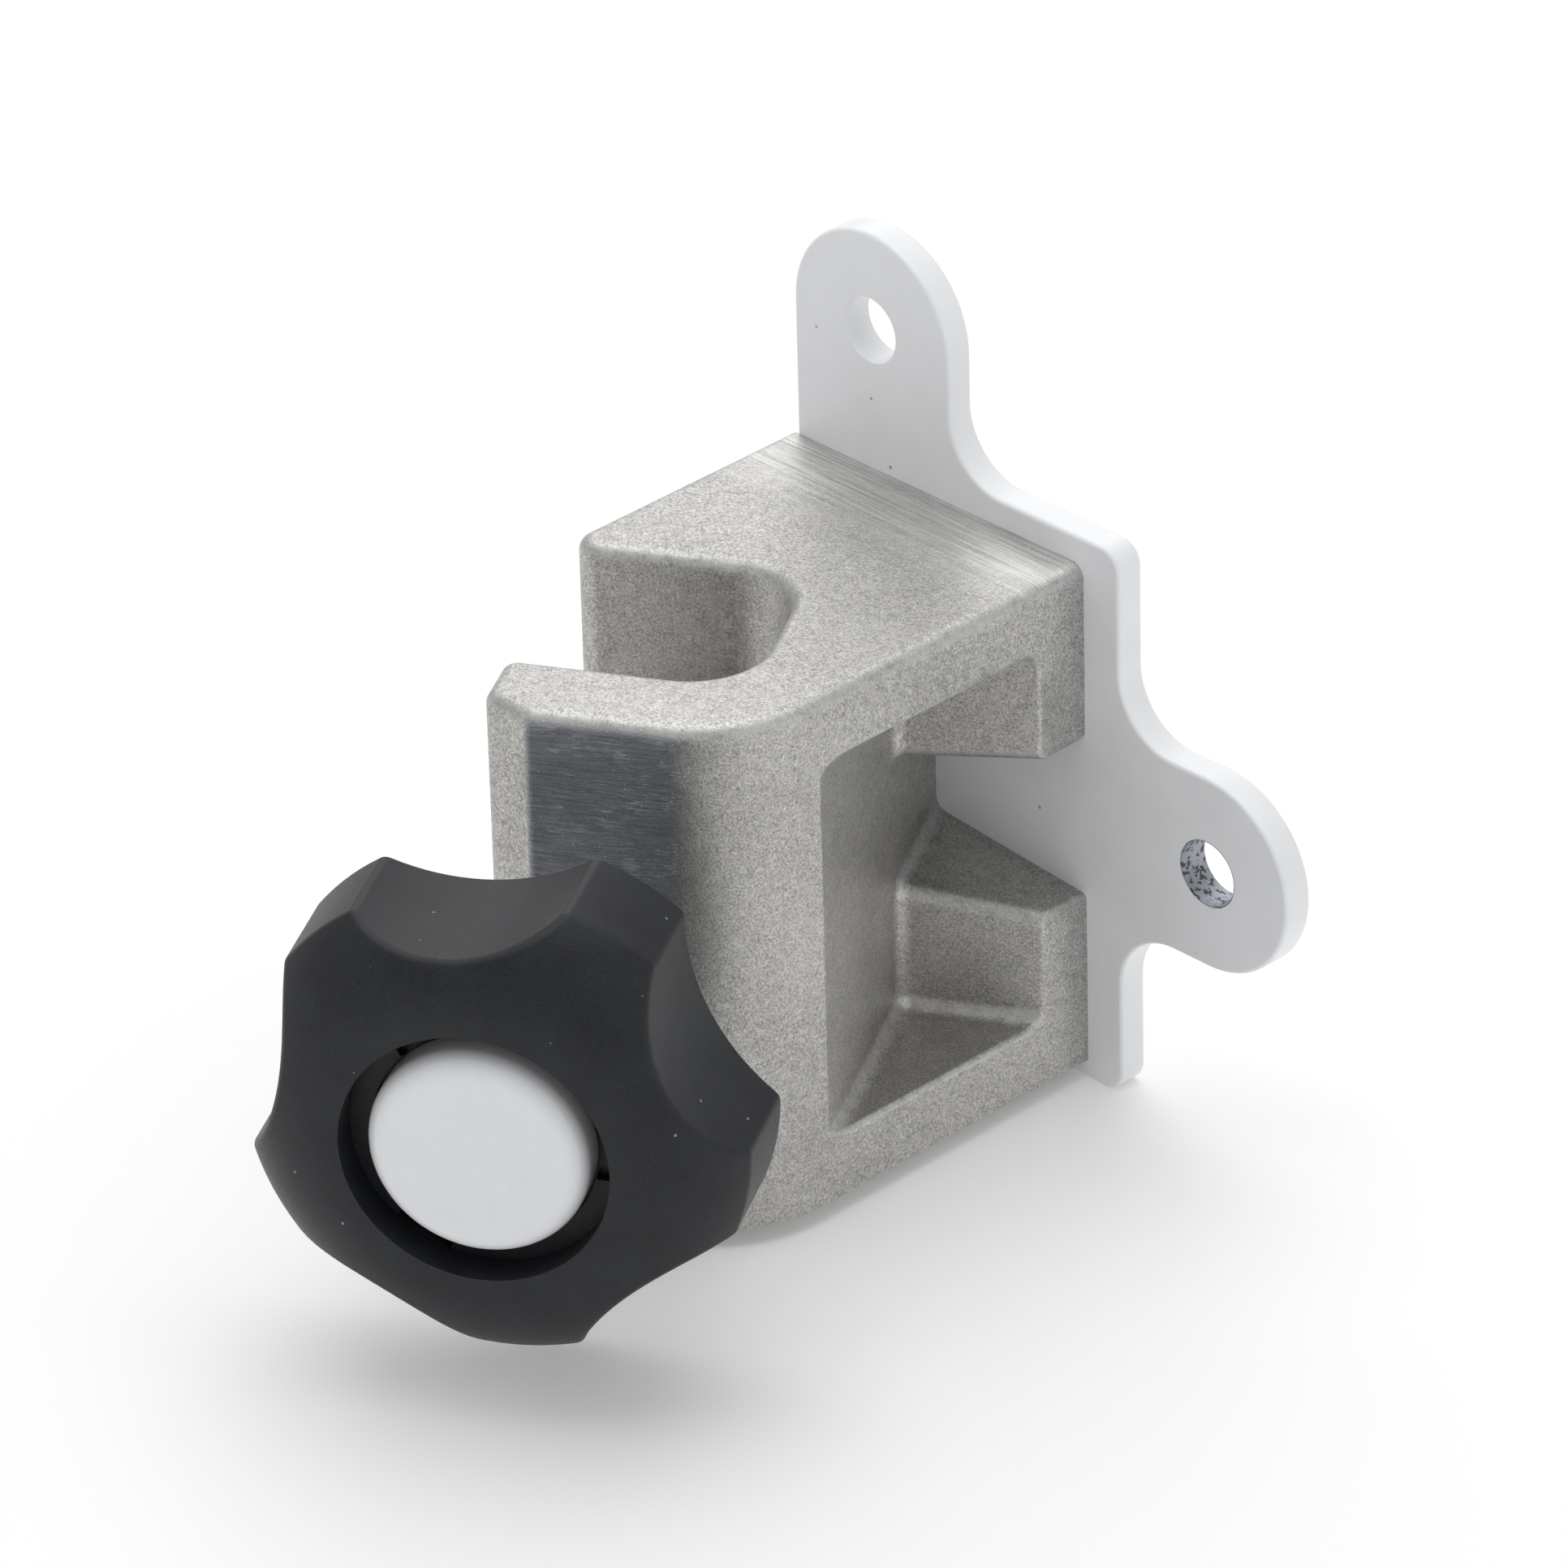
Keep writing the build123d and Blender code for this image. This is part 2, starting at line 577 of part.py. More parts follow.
with BuildPart() as spring_seat:
    ring(SEAT_INNER, SEAT_OUTER, FLANGE_END, FLANGE_END + SEAT_THICKNESS)
spring_seat.part.label = "spring_seat"

# Return spring: it stands on its seat and reaches the button's ceiling.
with BuildPart() as button_spring:
    spring_start = FLANGE_END + SEAT_THICKNESS + WIRE_RADIUS
    spring_height = BUTTON_CEILING - WIRE_RADIUS - spring_start
    with BuildLine() as coil:
        Helix(
            pitch=spring_height / SPRING_TURNS,
            height=spring_height,
            radius=SPRING_MEAN_RADIUS,
            center=AXIS_FOOT + OUT * spring_start,
            direction=OUT,
        )
    with BuildSketch(Plane(origin=coil.line @ 0, z_dir=coil.line % 0)):
        Circle(WIRE_RADIUS)
    sweep()
button_spring.part.label = "button_spring"

PIECES = [
    mounting_plate,
    plate_screws,
    clamp_body,
    spindle_bush,
    bush_pin,
    spindle,
    pressure_pad,
    pad_facing,
    pad_clip,
    thrust_washer,
    spindle_hub,
    hub_pin,
    hub_circlip,
    knob_washer,
    knob_body,
    knob_bearing,
    push_button,
    clutch_ring,
    spring_seat,
    button_spring,
]

os.makedirs("parts", exist_ok=True)
for piece in PIECES:
    export_step(piece.part, f"parts/{piece.part.label}.step")
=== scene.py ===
import json
import math

import bmesh
import bpy
from mathutils import Matrix, Vector


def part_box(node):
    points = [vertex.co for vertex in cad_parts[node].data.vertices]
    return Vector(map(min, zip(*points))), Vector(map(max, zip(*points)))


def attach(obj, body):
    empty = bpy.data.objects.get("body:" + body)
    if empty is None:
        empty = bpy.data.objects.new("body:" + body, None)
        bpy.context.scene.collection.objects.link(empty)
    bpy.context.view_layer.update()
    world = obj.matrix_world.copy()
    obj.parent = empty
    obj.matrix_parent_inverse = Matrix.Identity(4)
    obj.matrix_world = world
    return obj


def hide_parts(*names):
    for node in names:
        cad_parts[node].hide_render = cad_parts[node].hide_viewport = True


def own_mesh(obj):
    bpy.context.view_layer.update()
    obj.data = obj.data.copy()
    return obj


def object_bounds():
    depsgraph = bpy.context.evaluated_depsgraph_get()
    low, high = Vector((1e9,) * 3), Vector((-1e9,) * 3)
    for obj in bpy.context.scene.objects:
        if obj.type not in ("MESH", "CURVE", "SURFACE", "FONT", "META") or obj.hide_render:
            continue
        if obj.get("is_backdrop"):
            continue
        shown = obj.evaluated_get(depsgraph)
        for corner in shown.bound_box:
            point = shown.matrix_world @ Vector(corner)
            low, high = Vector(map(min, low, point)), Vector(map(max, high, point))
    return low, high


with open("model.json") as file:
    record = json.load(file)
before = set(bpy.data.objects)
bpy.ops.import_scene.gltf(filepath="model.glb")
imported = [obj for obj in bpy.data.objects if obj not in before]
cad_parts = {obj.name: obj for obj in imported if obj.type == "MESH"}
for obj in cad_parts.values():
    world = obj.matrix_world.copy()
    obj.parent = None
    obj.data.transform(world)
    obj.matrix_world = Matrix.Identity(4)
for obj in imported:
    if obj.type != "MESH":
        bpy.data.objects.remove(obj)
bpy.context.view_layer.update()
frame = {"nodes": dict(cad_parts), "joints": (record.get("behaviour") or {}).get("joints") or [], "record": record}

# Metres, in the frame of the CAD model: the plate's back is y = 0 and the clamp stands
# out from it towards -Y.

MM = 0.001

# The clamp's own directions, read from the joints: OUT points along the spindle from the
# pad to the knob, ALONG is level and square to it.
JOINTS = {joint["name"]: joint for joint in frame["joints"]}
MOUNTS = {mount["name"]: mount for mount in frame["record"]["mounts"]}
OUT = -Vector(JOINTS["spindle_turn"]["axis"]).normalized()
UP = Vector((0, 0, 1))
ALONG = UP.cross(OUT)
AXIS_POINT = Vector(JOINTS["spindle_turn"]["pos_m"])


def reach(node):
    """How far along OUT a CAD node begins and ends, from the spindle joint's own point."""
    places = [(vertex.co - AXIS_POINT).dot(OUT) for vertex in frame["nodes"][node].data.vertices]
    return min(places), max(places)


# ---------------------------------------------------------------------------
# Materials
# ---------------------------------------------------------------------------


# Most of a noise's values lie between these, so ramps over a noise run from one to the other.
NOISE_LOW, NOISE_HIGH = 0.3, 0.7

# A speck is solid out to the first of these shares of its cell, and gone at the second.
SPECK_SOLID, SPECK_GONE = 0.12, 0.20


class Finish:
    """One material, with short calls for the nodes that these finishes are made of."""

    def __init__(self, name, **values):
        self.material = bpy.data.materials.new(name)
        self.material.use_nodes = True
        self.tree = self.material.node_tree
        self.shader = self.tree.nodes["Principled BSDF"]
        for field, value in values.items():
            self.shader.inputs[field.replace("_", " ")].default_value = value
        self.place = self.add("ShaderNodeTexCoord").outputs["Object"]

    def add(self, kind, **settings):
        node = self.tree.nodes.new(kind)
        for name, value in settings.items():
            setattr(node, name, value)
        return node

    def feed(self, socket, value):
        """Links a node's output to a socket, or sets the socket to a constant."""
        if isinstance(value, bpy.types.NodeSocket):
            self.tree.links.new(value, socket)
        else:
            socket.default_value = value

    def drive(self, name, value):
        self.tree.links.new(value, self.shader.inputs[name])

    def stretched(self, size, turn=(0, 0, 0)):
        """Object coordinates divided by size along axes turned by turn degrees."""
        mapping = self.add("ShaderNodeMapping", vector_type="TEXTURE")
        mapping.inputs["Rotation"].default_value = [math.radians(angle) for angle in turn]
        mapping.inputs["Scale"].default_value = size
        self.tree.links.new(self.place, mapping.inputs["Vector"])
        return mapping.outputs["Vector"]

    def noise(self, size, detail=2.0, roughness=0.5, turn=(0, 0, 0)):
        """Noise with features of about size metres: one number, or one for each axis."""
        if not isinstance(size, tuple):
            size = (size, size, size)
        node = self.add("ShaderNodeTexNoise")
        node.inputs["Scale"].default_value = 1.0
        node.inputs["Detail"].default_value = detail
        node.inputs["Roughness"].default_value = roughness
        self.tree.links.new(self.stretched(size, turn), node.inputs["Vector"])
        return node.outputs["Fac"]

    def specks(self, size, share):
        """1 on a random share of cells of about size metres, and 0 elsewhere."""
        node = self.add("ShaderNodeTexVoronoi")
        node.inputs["Scale"].default_value = 1.0
        self.tree.links.new(self.stretched((size, size, size)), node.inputs["Vector"])
        chosen = self.above(self.channel(node.outputs["Color"], 0), 1 - share)
        near_centre = self.ramp(node.outputs["Distance"], SPECK_SOLID, SPECK_GONE, 1, 0)
        return self.math("MULTIPLY", chosen, near_centre)

    def channel(self, colour, index):
        node = self.add("ShaderNodeSeparateColor")
        self.tree.links.new(colour, node.inputs["Color"])
        return node.outputs[index]

    def math(self, operation, first, second=0.0):
        node = self.add("ShaderNodeMath", operation=operation)
        self.feed(node.inputs[0], first)
        self.feed(node.inputs[1], second)
        return node.outputs[0]

    def above(self, value, threshold):
        return self.math("GREATER_THAN", value, threshold)

    def ramp(self, value, low, high, at_low=0.0, at_high=1.0):
        """Maps low..high to at_low..at_high, and holds the ends."""
        node = self.add("ShaderNodeMapRange")
        self.feed(node.inputs["Value"], value)
        node.inputs["From Min"].default_value = low
        node.inputs["From Max"].default_value = high
        node.inputs["To Min"].default_value = at_low
        node.inputs["To Max"].default_value = at_high
        return node.outputs["Result"]

    def mix(self, share, first, second):
        """Colour between first and second."""
        node = self.add("ShaderNodeMix", data_type="RGBA")
        self.feed(node.inputs["Factor"], share)
        self.feed(node.inputs["A"], first)
        self.feed(node.inputs["B"], second)
        return node.outputs["Result"]

    def axis(self, name):
        node = self.add("ShaderNodeSeparateXYZ")
        self.tree.links.new(self.place, node.inputs["Vector"])
        return node.outputs[name]

    def along(self, direction):
        """How far a place lies along a direction, in metres from the origin."""
        node = self.add("ShaderNodeVectorMath", operation="DOT_PRODUCT")
        node.inputs[1].default_value = direction
        self.tree.links.new(self.place, node.inputs[0])
        return node.outputs["Value"]

    def from_line(self, point, across):
        """Distance from a line through point. across is 1 on the axes square to it, else 0."""
        away = self.add("ShaderNodeVectorMath", operation="SUBTRACT")
        away.inputs[1].default_value = point
        self.tree.links.new(self.place, away.inputs[0])
        flat = self.add("ShaderNodeVectorMath", operation="MULTIPLY")
        flat.inputs[1].default_value = across
        self.tree.links.new(away.outputs["Vector"], flat.inputs[0])
        length = self.add("ShaderNodeVectorMath", operation="LENGTH")
        self.tree.links.new(flat.outputs["Vector"], length.inputs[0])
        return length.outputs["Value"]

    def facing(self, direction):
        """How far the surface faces along a direction, from -1 to 1."""
        geometry = self.add("ShaderNodeNewGeometry")
        node = self.add("ShaderNodeVectorMath", operation="DOT_PRODUCT")
        self.tree.links.new(geometry.outputs["Normal"], node.inputs[0])
        node.inputs[1].default_value = direction
        return node.outputs["Value"]

    def spread(self, value, at_low=0.0, at_high=1.0):
        """Maps the usual range of a noise to at_low..at_high."""
        return self.ramp(value, NOISE_LOW, NOISE_HIGH, at_low, at_high)

    def bump(self, *layers):
        """Each layer is a height from 0 to 1 and the distance in metres that 1 stands for."""
        previous = None
        for height, distance in layers:
            node = self.add("ShaderNodeBump")
            node.inputs["Distance"].default_value = distance
            self.tree.links.new(height, node.inputs["Height"])
            if previous is not None:
                self.tree.links.new(previous, node.inputs["Normal"])
            previous = node.outputs["Normal"]
        self.tree.links.new(previous, self.shader.inputs["Normal"])


def grey(level, warmth=0.0):
    """Linear colour of a near-grey surface. Positive warmth is yellower, negative bluer."""
    return (level * (1 + warmth), level, level * (1 - 2 * warmth), 1)


# How far past the hole's own radius still counts as its bore, in millimetres.
BARE_ZINC_MARGIN = 0.1
COAT_ROUGHNESS, ZINC_ROUGHNESS = 0.36, 0.5


def powder_coat():
    """White coat with orange peel. The side ear's hole has no coat: its bore is bare zinc."""
    finish = Finish("powder_coat")
    hole = MOUNTS["side_ear_hole"]
    from_hole = finish.from_line(hole["pos_m"], (1, 0, 1))
    bore_radius = (hole["dims"]["r_mm"] + BARE_ZINC_MARGIN) * MM
    bare = finish.math("LESS_THAN", from_hole, bore_radius)
    cloud = finish.noise(9 * MM, detail=3)
    coat = finish.mix(finish.spread(cloud), grey(0.83, -0.010), grey(0.87, -0.010))
    dirt = finish.specks(1.5 * MM, share=0.02)
    coat = finish.mix(dirt, coat, grey(0.35))
    spots = finish.ramp(finish.noise(0.6 * MM, detail=3), 0.52, 0.6)
    zinc = finish.mix(spots, grey(0.42, -0.05), grey(0.10, -0.05))
    finish.drive("Base Color", finish.mix(bare, coat, zinc))
    finish.drive("Metallic", bare)
    finish.drive("Roughness", finish.ramp(bare, 0, 1, COAT_ROUGHNESS, ZINC_ROUGHNESS))
    orange_peel = finish.noise(1.3 * MM, detail=1)
    grain = finish.noise(0.35 * MM, detail=2)
    finish.bump((orange_peel, 0.012 * MM), (grain, 0.004 * MM))
    return finish.material


# How far above its threshold a hairline reaches full strength.
HAIRLINE_EDGE = 0.05


def hairlines(finish, angle, threshold):
    """Scratches turned by angle degrees from +X. A higher threshold leaves fewer of them."""
    lines = finish.noise((3.0 * MM, 0.07 * MM, 0.07 * MM), detail=1, turn=(0, 0, angle))
    patches = finish.noise(2.5 * MM, detail=1, turn=(0, 0, angle))
    uneven = finish.math("ADD", lines, finish.spread(patches, -0.12, 0.06))
    return finish.ramp(uneven, threshold, threshold + HAIRLINE_EDGE)


# How strongly the linished strip, the jaw's polish with its painted dark reflection, and the scratches cover the
# casting's grain.
LINISHED_SHARE = 0.8
POLISH_REFLECTION_SHARE = 0.75
SCRATCH_SHARE = 0.6

# The strip is on the faces this near the top, and fades in over these distances from the plate.
TOP_SKIN = 0.5 * MM
LINISHED_START, LINISHED_FULL = 15 * MM, 6 * MM

# The polish and its painted dark reflection fade in over these depths under the jaw's front face.
POLISH_REFLECTION_START, POLISH_REFLECTION_FULL = 0.25 * MM, 0.05 * MM

# The clamp is turned by this many degrees on its plate, and its tool marks are too.
CLAMP_TURN = 30

CASTING_ROUGHNESS = (0.54, 0.42)


def cast_aluminium():
    """Tumbled casting: grain, scratches, rims lightened for wear and as a painted highlight, a linished strip, and
    a polished jaw darkened as a painted dark reflection.
    """
    finish = Finish("cast_aluminium", Metallic=1.0)
    grain = finish.noise(0.30 * MM, detail=3, roughness=0.7)
    mottle = finish.noise(1.4 * MM, detail=3)
    cloud = finish.noise(13 * MM, detail=2)
    tone = finish.math(
        "ADD",
        finish.spread(grain, -0.62, 0.62),
        finish.spread(mottle, 0.34, 0.60),
    )
    tone = finish.math("ADD", tone, finish.spread(cloud, -0.04, 0.12))
    colour = finish.mix(tone, grey(0.29, 0.018), grey(0.63, 0.018))

    # Rims that lean between level and upright are painted lighter: partly wear from tumbling, partly a painted
    # highlight along the fillets.
    lean = finish.math("ABSOLUTE", finish.facing(UP))
    rim = finish.math(
        "MULTIPLY", finish.ramp(lean, 0.1, 0.4), finish.ramp(lean, 0.75, 0.97, 1, 0)
    )
    wear_and_highlight = finish.math("MULTIPLY", rim, finish.ramp(mottle, 0.35, 0.6, 0.25, 0.75))
    colour = finish.mix(wear_and_highlight, colour, grey(0.60, 0.0))

    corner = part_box("clamp_body")[1]
    near_plate = finish.ramp(
        finish.axis("Y"), corner.y - LINISHED_START, corner.y - LINISHED_FULL
    )
    on_top = finish.above(finish.axis("Z"), corner.z - TOP_SKIN)
    linished = finish.math("MULTIPLY", near_plate, on_top)
    brushing = finish.noise((9 * MM, 0.16 * MM, 1 * MM), detail=3)
    brushed = finish.mix(
        finish.ramp(brushing, 0.35, 0.65), grey(0.42, 0.01), grey(0.80, 0.01)
    )
    colour = finish.mix(finish.math("MULTIPLY", linished, LINISHED_SHARE), colour, brushed)

    # The jaw's front face is painted darker and bluer: polish strokes, with a painted dark reflection of the
    # surroundings in front.
    jaw_face = AXIS_POINT.dot(OUT) + reach("clamp_body")[1]
    polish_reflection_mask = finish.ramp(
        finish.along(OUT), jaw_face - POLISH_REFLECTION_START, jaw_face - POLISH_REFLECTION_FULL
    )
    strokes = finish.noise((4 * MM, 0.5 * MM, 0.1 * MM), detail=3, turn=(0, 0, CLAMP_TURN))
    polish_and_dark_reflection = finish.mix(
        finish.ramp(strokes, 0.35, 0.7), grey(0.23, -0.07), grey(0.50, -0.05)
    )
    colour = finish.mix(finish.math("MULTIPLY", polish_reflection_mask, POLISH_REFLECTION_SHARE), colour, polish_and_dark_reflection)

    scratches = finish.math(
        "MAXIMUM",
        hairlines(finish, angle=CLAMP_TURN, threshold=0.66),
        hairlines(finish, angle=75, threshold=0.70),
    )
    sparkle = finish.specks(0.55 * MM, share=0.10)
    worn_lines = finish.math("MULTIPLY", scratches, SCRATCH_SHARE)
    bright = finish.math("MAXIMUM", worn_lines, sparkle)
    finish.drive("Base Color", finish.mix(bright, colour, grey(0.82)))
    finish.drive("Roughness", finish.spread(grain, *CASTING_ROUGHNESS))
    finish.bump((mottle, 0.03 * MM), (grain, 0.035 * MM), (scratches, 0.01 * MM))
    return finish.material


def turned_metal(name, dark, light, roughness):
    """Metal with a faint tool grain and a cloudy colour between dark and light."""
    finish = Finish(name, Metallic=1.0)
    grain = finish.noise(0.12 * MM, detail=2)
    cloud = finish.noise(3 * MM, detail=3)
    finish.drive("Base Color", finish.mix(finish.spread(cloud), dark, light))
    finish.drive("Roughness", finish.spread(grain, roughness - 0.06, roughness + 0.08))
    finish.bump((grain, 0.006 * MM))
    return finish.material


def plastic(name, dark, light, roughness, grain_size, grain_depth, gloss=0.5, dust=0.0):
    """Plastic or rubber. dust is the share of cells that hold a pale speck."""
    finish = Finish(name, Specular_IOR_Level=gloss)
    grain = finish.noise(grain_size, detail=2)
    cloud = finish.noise(6 * MM, detail=3)
    tone = finish.math("ADD", finish.spread(cloud, 0, 0.4), finish.spread(grain, 0, 0.6))
    colour = finish.mix(tone, dark, light)
    if dust:
        colour = finish.mix(finish.specks(1.1 * MM, dust), colour, grey(0.25))
    finish.drive("Base Color", colour)
    finish.drive("Roughness", finish.spread(grain, roughness - 0.05, roughness + 0.06))
    finish.bump((grain, grain_depth))
    return finish.material


DARK_BRASS = (0.55, 0.38, 0.16, 1)
LIGHT_BRASS = (0.66, 0.48, 0.22, 1)

FINISHES = {
    "powder_coat": powder_coat(),
    "cast_aluminium": cast_aluminium(),
    "zinc_steel": turned_metal(
        "zinc_steel", grey(0.55, -0.03), grey(0.68, -0.02), roughness=0.30
    ),
    "bright_steel": turned_metal("bright_steel", grey(0.42), grey(0.56), roughness=0.26),
    "spring_steel": turned_metal("spring_steel", grey(0.22), grey(0.32), roughness=0.32),
    "brass": turned_metal("brass", DARK_BRASS, LIGHT_BRASS, roughness=0.30),
    "facing_rubber": plastic(
        "facing_rubber",
        grey(0.014),
        grey(0.030),
        roughness=0.75,
        grain_size=0.5 * MM,
        grain_depth=0.03 * MM,
    ),
    "knob_plastic": plastic(
        "knob_plastic",
        grey(0.007, -0.09),
        grey(0.022, -0.09),
        roughness=0.44,
        grain_size=0.26 * MM,
        grain_depth=0.03 * MM,
        gloss=0.30,
        dust=0.012,
    ),
    "button_plastic": plastic(
        "button_plastic",
        grey(0.79, -0.012),
        grey(0.82, -0.012),
        roughness=0.16,
        grain_size=2 * MM,
        grain_depth=0.004 * MM,
    ),
    "clutch_plastic": plastic(
        "clutch_plastic",
        grey(0.012),
        grey(0.022),
        roughness=0.5,
        grain_size=0.3 * MM,
        grain_depth=0.01 * MM,
    ),
    "bearing_plastic": plastic(
        "bearing_plastic",
        grey(0.66, 0.04),
        grey(0.72, 0.04),
        roughness=0.4,
        grain_size=0.4 * MM,
        grain_depth=0.006 * MM,
    ),
}

for part in frame["record"]["subparts"]:
    for material_slot in frame["nodes"][part["node"]].material_slots:
        material_slot.material = FINISHES[part["material_slot"]]

# ---------------------------------------------------------------------------
# Pieces swept round the spindle axis: the spindle and its thread, the button, the spring
# ---------------------------------------------------------------------------

TURN_STEPS = 96

# Points nearer than this, in metres, become one, and edges over this many degrees stay sharp.
WELD_DISTANCE = 1e-7
SHARP_ANGLE = 32


def on_axis(radius, angle, height):
    """Point at a radius and angle round the spindle axis, and a height along OUT."""
    return AXIS_POINT + OUT * height + (ALONG * math.cos(angle) + UP * math.sin(angle)) * radius


def skin(rows):
    """Vertices and faces that join neighbouring rows of equally many points."""
    width = len(rows[0])
    faces = []
    for row in range(len(rows) - 1):
        for place in range(width - 1):
            corner = row * width + place
            faces.append((corner, corner + width, corner + width + 1, corner + 1))
    return [point for row in rows for point in row], faces


def lathe(profile):
    """Profile of (radius, height) points turned round the spindle axis."""
    rows = []
    for step in range(TURN_STEPS + 1):
        angle = 2 * math.pi * step / TURN_STEPS
        rows.append([on_axis(radius, angle, height) for radius, height in profile])
    return skin(rows)


def piece(name, parts, node, body):
    """One smooth-shaded object made of several skins. It stands for a CAD node."""
    mesh = bpy.data.meshes.new(name)
    build = bmesh.new()
    for points, faces in parts:
        corners = [build.verts.new(point) for point in points]
        for face in faces:
            build.faces.new([corners[index] for index in face])
        bmesh.ops.remove_doubles(build, verts=corners, dist=WELD_DISTANCE)
    build.to_mesh(mesh)
    build.free()
    mesh.shade_smooth()
    mesh.set_sharp_from_angle(angle=math.radians(SHARP_ANGLE))
    slot_name = next(
        part["material_slot"] for part in frame["record"]["subparts"] if part["node"] == node
    )
    mesh.materials.append(FINISHES[slot_name])
    made = bpy.data.objects.new(name, mesh)
    bpy.context.scene.collection.objects.link(made)
    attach(made, body)
    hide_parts(node)
    return made


# Spindle: the CAD gives the thread's outside; its pitch is the travel for one turn.
SPINDLE_RADIUS = 6.0 * MM
THREAD_PITCH = 3.0 * MM
THREAD_ROOT = 4.25 * MM
THREAD_SINK = 0.15 * MM
CREST_WIDTH = 1.1 * MM
FOOT_WIDTH = 2.1 * MM
THREAD_RISE_TURNS = 0.5
JOURNAL_RADIUS = 4.0 * MM
JOURNAL_LENGTH = 5.0 * MM
GROOVE_NEAR, GROOVE_FAR = 0.75 * MM, 1.55 * MM
GROOVE_FLOOR = 3.2 * MM
CHAMFER = 0.3 * MM
SHOULDER_LENGTH = 0.8 * MM
RUN_OUT = 1.2 * MM


def thread(start, end):
    """Trapezoidal right-hand ridge that rises from the core at both ends."""
    turns = (end - start) / THREAD_PITCH
    steps = int(turns * TURN_STEPS)
    rows = []
    for step in range(steps + 1):
        angle = 2 * math.pi * step / TURN_STEPS
        middle = start + THREAD_PITCH * step / TURN_STEPS
        from_end = min(step, steps - step) / TURN_STEPS
        rise = min(1.0, from_end / THREAD_RISE_TURNS)
        foot = THREAD_ROOT - THREAD_SINK
        crest = foot + (SPINDLE_RADIUS - foot) * rise
        rows.append(
            [
                on_axis(foot, angle, middle - FOOT_WIDTH / 2),
                on_axis(crest, angle, middle - CREST_WIDTH / 2),
                on_axis(crest, angle, middle + CREST_WIDTH / 2),
                on_axis(foot, angle, middle + FOOT_WIDTH / 2),
            ]
        )
    return skin(rows)


def spindle():
    """Grooved journal, shoulder, thread and plain end. It stands for the CAD spindle."""
    start, end = reach("spindle")
    hub_start = reach("spindle_hub")[0]
    shoulder = start + JOURNAL_LENGTH
    thread_start = shoulder + SHOULDER_LENGTH
    thread_end = hub_start - RUN_OUT
    shaft = lathe(
        [
            (0, start),
            (JOURNAL_RADIUS - CHAMFER, start),
            (JOURNAL_RADIUS, start + CHAMFER),
            (JOURNAL_RADIUS, start + GROOVE_NEAR),
            (GROOVE_FLOOR, start + GROOVE_NEAR),
            (GROOVE_FLOOR, start + GROOVE_FAR),
            (JOURNAL_RADIUS, start + GROOVE_FAR),
            (JOURNAL_RADIUS, shoulder),
            (SPINDLE_RADIUS - CHAMFER, shoulder),
            (SPINDLE_RADIUS, shoulder + CHAMFER),
            (SPINDLE_RADIUS, thread_start),
            (THREAD_ROOT, thread_start + RUN_OUT),
            (THREAD_ROOT, thread_end),
            (SPINDLE_RADIUS, thread_end + RUN_OUT),
            (SPINDLE_RADIUS, end - CHAMFER),
            (SPINDLE_RADIUS - CHAMFER, end),
            (0, end),
        ]
    )
    ridge = thread(thread_start + FOOT_WIDTH / 2, thread_end - FOOT_WIDTH / 2)
    piece("spindle_turned", [shaft, ridge], "spindle", "spindle")


# Button: a cup whose crown rolls over into a shallow round dish.
BUTTON_RADIUS = 13.0 * MM
BUTTON_EDGE_WIDTH = 2.9 * MM
BUTTON_EDGE_HEIGHT = 2.7 * MM
BUTTON_SKIRT_INNER = 11.4 * MM
BUTTON_WALL = 2.0 * MM
DISH_RIM, DISH_FLOOR = 10.1 * MM, 5.6 * MM
DISH_DEPTH = 0.45 * MM
CURVE_STEPS = 16


def button():
    """Stands for the CAD push_button, from the inside of the cup round to the dish."""
    back, crown = reach("push_button")
    profile = [
        (0, crown - BUTTON_WALL),
        (BUTTON_SKIRT_INNER, crown - BUTTON_WALL),
        (BUTTON_SKIRT_INNER, back),
        (BUTTON_RADIUS - CHAMFER, back),
        (BUTTON_RADIUS, back + CHAMFER),
    ]
    for step in range(CURVE_STEPS + 1):
        angle = math.pi / 2 * step / CURVE_STEPS
        radius = BUTTON_RADIUS - BUTTON_EDGE_WIDTH * (1 - math.cos(angle))
        profile.append((radius, crown - BUTTON_EDGE_HEIGHT * (1 - math.sin(angle))))
    for step in range(1, CURVE_STEPS + 1):
        share = step / CURVE_STEPS
        radius = DISH_RIM + (DISH_FLOOR - DISH_RIM) * share
        profile.append((radius, crown - DISH_DEPTH * (1 - math.cos(math.pi * share)) / 2))
    profile.append((0, crown - DISH_DEPTH))
    piece("button_turned", [lathe(profile)], "push_button", "button")


# Button spring: round wire wound up from its seat.
SPRING_RADIUS = 5.2 * MM
SPRING_TURNS = 4
WIRE_RADIUS = 0.5 * MM
WIRE_SIDES = 12


def spring():
    """Round wire wound up from its seat. It stands for the CAD button_spring."""
    seat, top = reach("button_spring")
    rise = top - seat - 2 * WIRE_RADIUS
    rows = []
    for step in range(SPRING_TURNS * TURN_STEPS + 1):
        angle = 2 * math.pi * step / TURN_STEPS
        height = seat + WIRE_RADIUS + rise * step / (SPRING_TURNS * TURN_STEPS)
        circle = []
        for side in range(WIRE_SIDES + 1):
            turn = -2 * math.pi * side / WIRE_SIDES
            radius = SPRING_RADIUS + WIRE_RADIUS * math.cos(turn)
            circle.append(on_axis(radius, angle, height + WIRE_RADIUS * math.sin(turn)))
        rows.append(circle)
    wound = piece("button_spring_wound", [skin(rows)], "button_spring", "button")
    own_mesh(wound)


# ---------------------------------------------------------------------------
# Floor, light and camera
# ---------------------------------------------------------------------------


FLOOR_REACH = 6.0
FLOOR_GLOW = 0.12


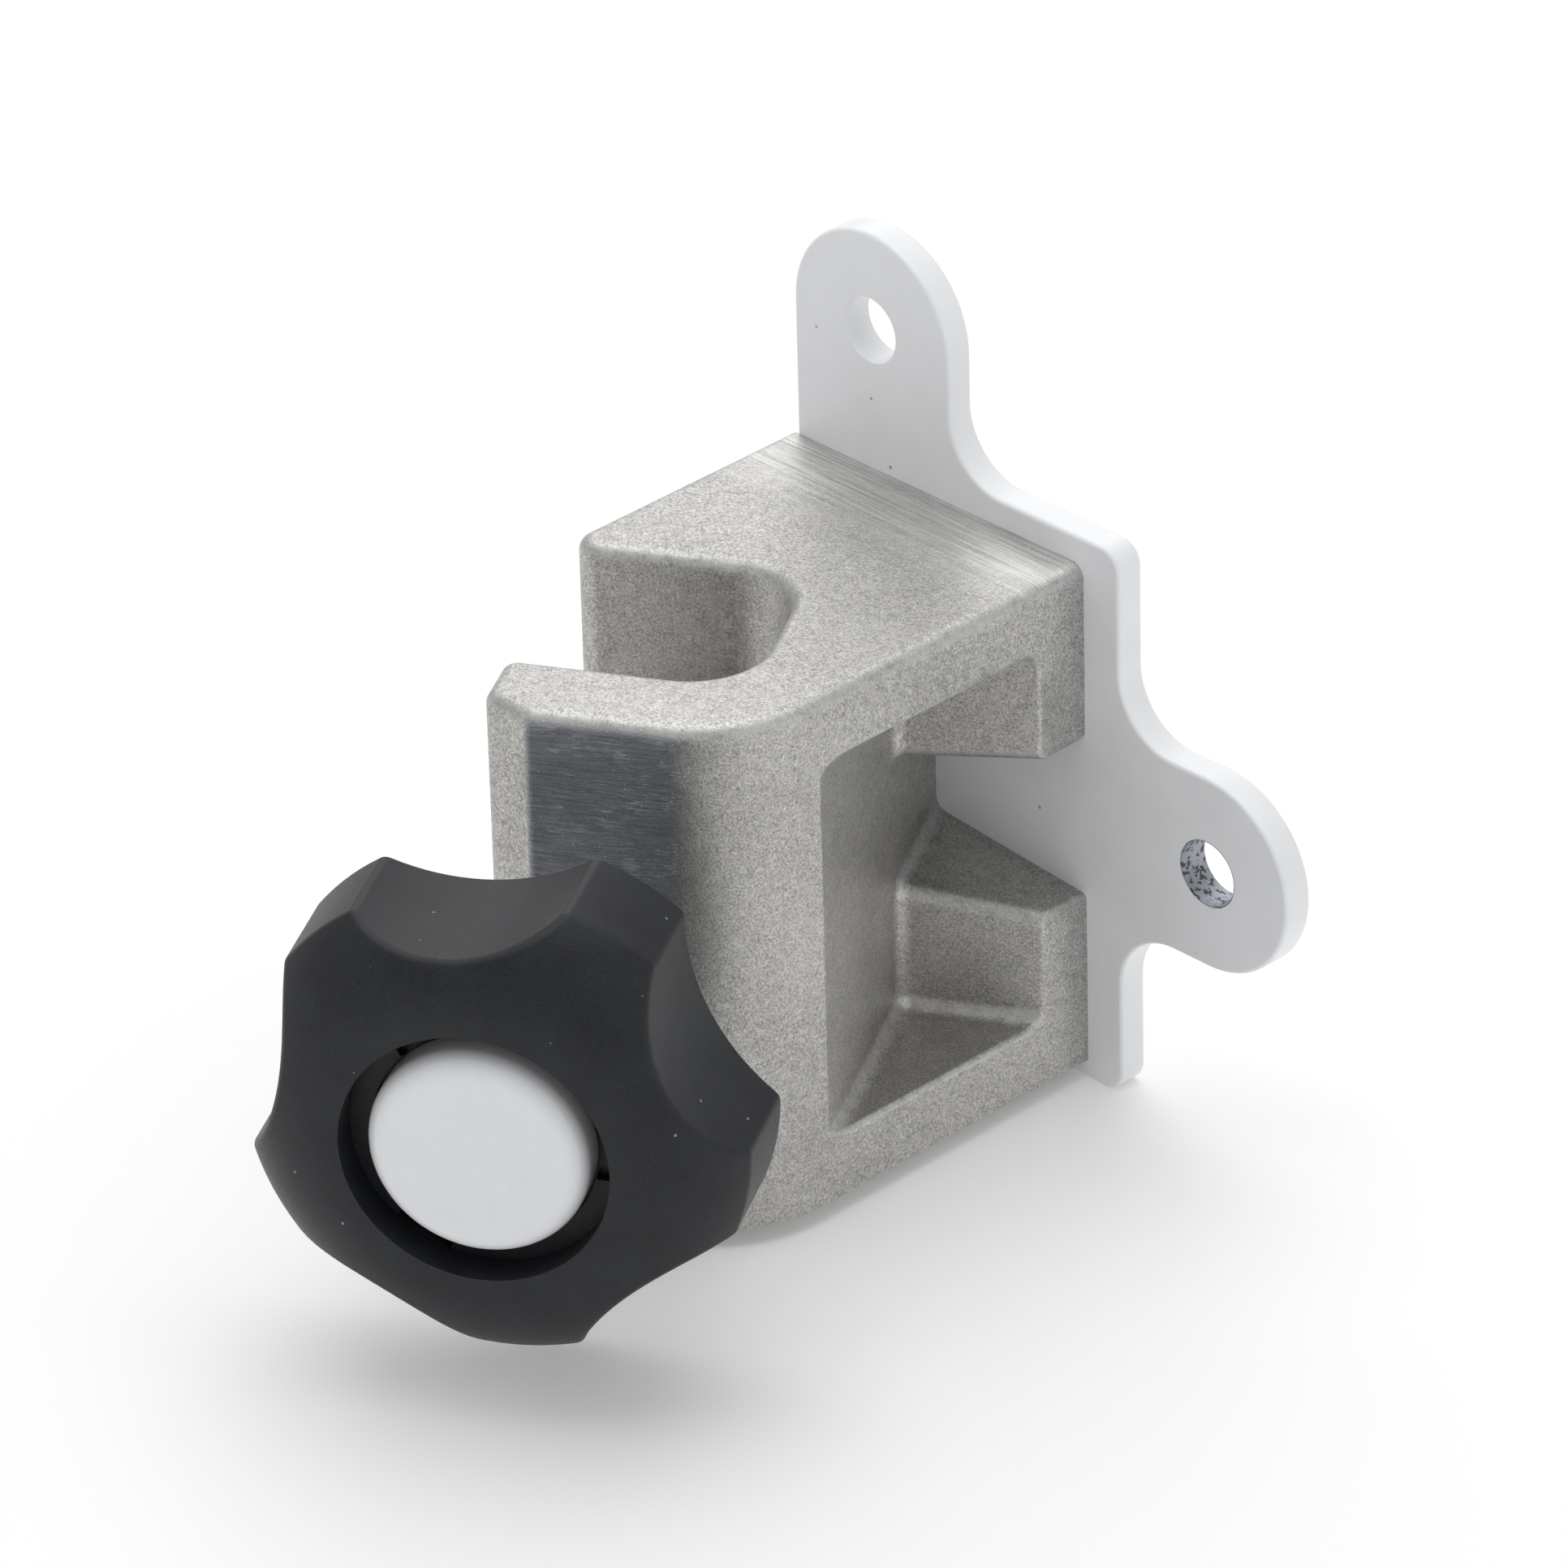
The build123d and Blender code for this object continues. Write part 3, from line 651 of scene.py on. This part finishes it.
def floor():
    """White floor under the lowest point, with a slight glow that keeps it near white."""
    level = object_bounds()[0].z
    mesh = bpy.data.meshes.new("floor")
    corners = [
        (x * FLOOR_REACH, y * FLOOR_REACH, level) for x, y in ((-1, -1), (1, -1), (1, 1), (-1, 1))
    ]
    mesh.from_pydata(corners, [], [(0, 1, 2, 3)])
    finish = Finish(
        "floor",
        Base_Color=grey(0.9),
        Roughness=0.9,
        Emission_Color=grey(1.0),
        Emission_Strength=FLOOR_GLOW,
    )
    mesh.materials.append(finish.material)
    made = bpy.data.objects.new("floor", mesh)
    bpy.context.scene.collection.objects.link(made)
    made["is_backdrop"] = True


CENTRE = Vector((0.02, -0.05, 0.04))

# Each softbox: its name, its place, its width and height in metres, and its power in watts.
SOFTBOXES = (
    ("overhead", (-0.1, 0.05, 1.0), (1.0, 1.0), 4.7),
    ("back", (-0.8, 0.7, 0.65), (0.9, 0.5), 2.1),
    ("right", (1.1, 0.2, 0.45), (0.8, 0.8), 0.7),
)
ROOM_LIGHT = 0.60


def softbox(name, place, size, power):
    """Rectangular light that looks at the part's centre."""
    light = bpy.data.lights.new(name, "AREA")
    light.shape = "RECTANGLE"
    light.size, light.size_y = size
    light.energy = power
    made = bpy.data.objects.new(name, light)
    made.location = place
    made.rotation_euler = (CENTRE - Vector(place)).to_track_quat("-Z", "Y").to_euler()
    bpy.context.scene.collection.objects.link(made)


def room():
    """Even white light from all round."""
    world = bpy.data.worlds.new("room")
    world.use_nodes = True
    background = world.node_tree.nodes["Background"]
    background.inputs["Color"].default_value = grey(1.0)
    background.inputs["Strength"].default_value = ROOM_LIGHT
    bpy.context.scene.world = world


# The photograph's camera, solved from the edges of the plate, casting and knob.
CAMERA_AZIMUTH = 46.274
CAMERA_ELEVATION = 30.412
CAMERA_ROLL = -1.527
CAMERA_DISTANCE = 1.28838
CAMERA_TARGET = Vector((-0.020699, -0.000096, 0.014075))
SENSOR = 36.0
LENS = 242.24
CLIP_START, CLIP_END = 0.05, 20


def camera():
    azimuth = math.radians(CAMERA_AZIMUTH)
    elevation = math.radians(CAMERA_ELEVATION)
    level = math.cos(elevation)
    back = Vector((math.sin(azimuth) * level, -math.cos(azimuth) * level, math.sin(elevation)))
    right = Vector((math.cos(azimuth), math.sin(azimuth), 0))
    facing = Matrix((right, back.cross(right), back)).transposed()
    lens = bpy.data.cameras.new("camera")
    lens.sensor_width = SENSOR
    lens.lens = LENS
    lens.clip_start = CLIP_START
    lens.clip_end = CLIP_END
    made = bpy.data.objects.new("camera", lens)
    turned = facing.to_4x4() @ Matrix.Rotation(math.radians(CAMERA_ROLL), 4, "Z")
    made.matrix_world = Matrix.Translation(CAMERA_TARGET + back * CAMERA_DISTANCE) @ turned
    bpy.context.scene.collection.objects.link(made)
    bpy.context.scene.camera = made


spindle()
button()
spring()
floor()
room()
for box in SOFTBOXES:
    softbox(*box)
camera()
bpy.context.scene.view_settings.view_transform = "Standard"
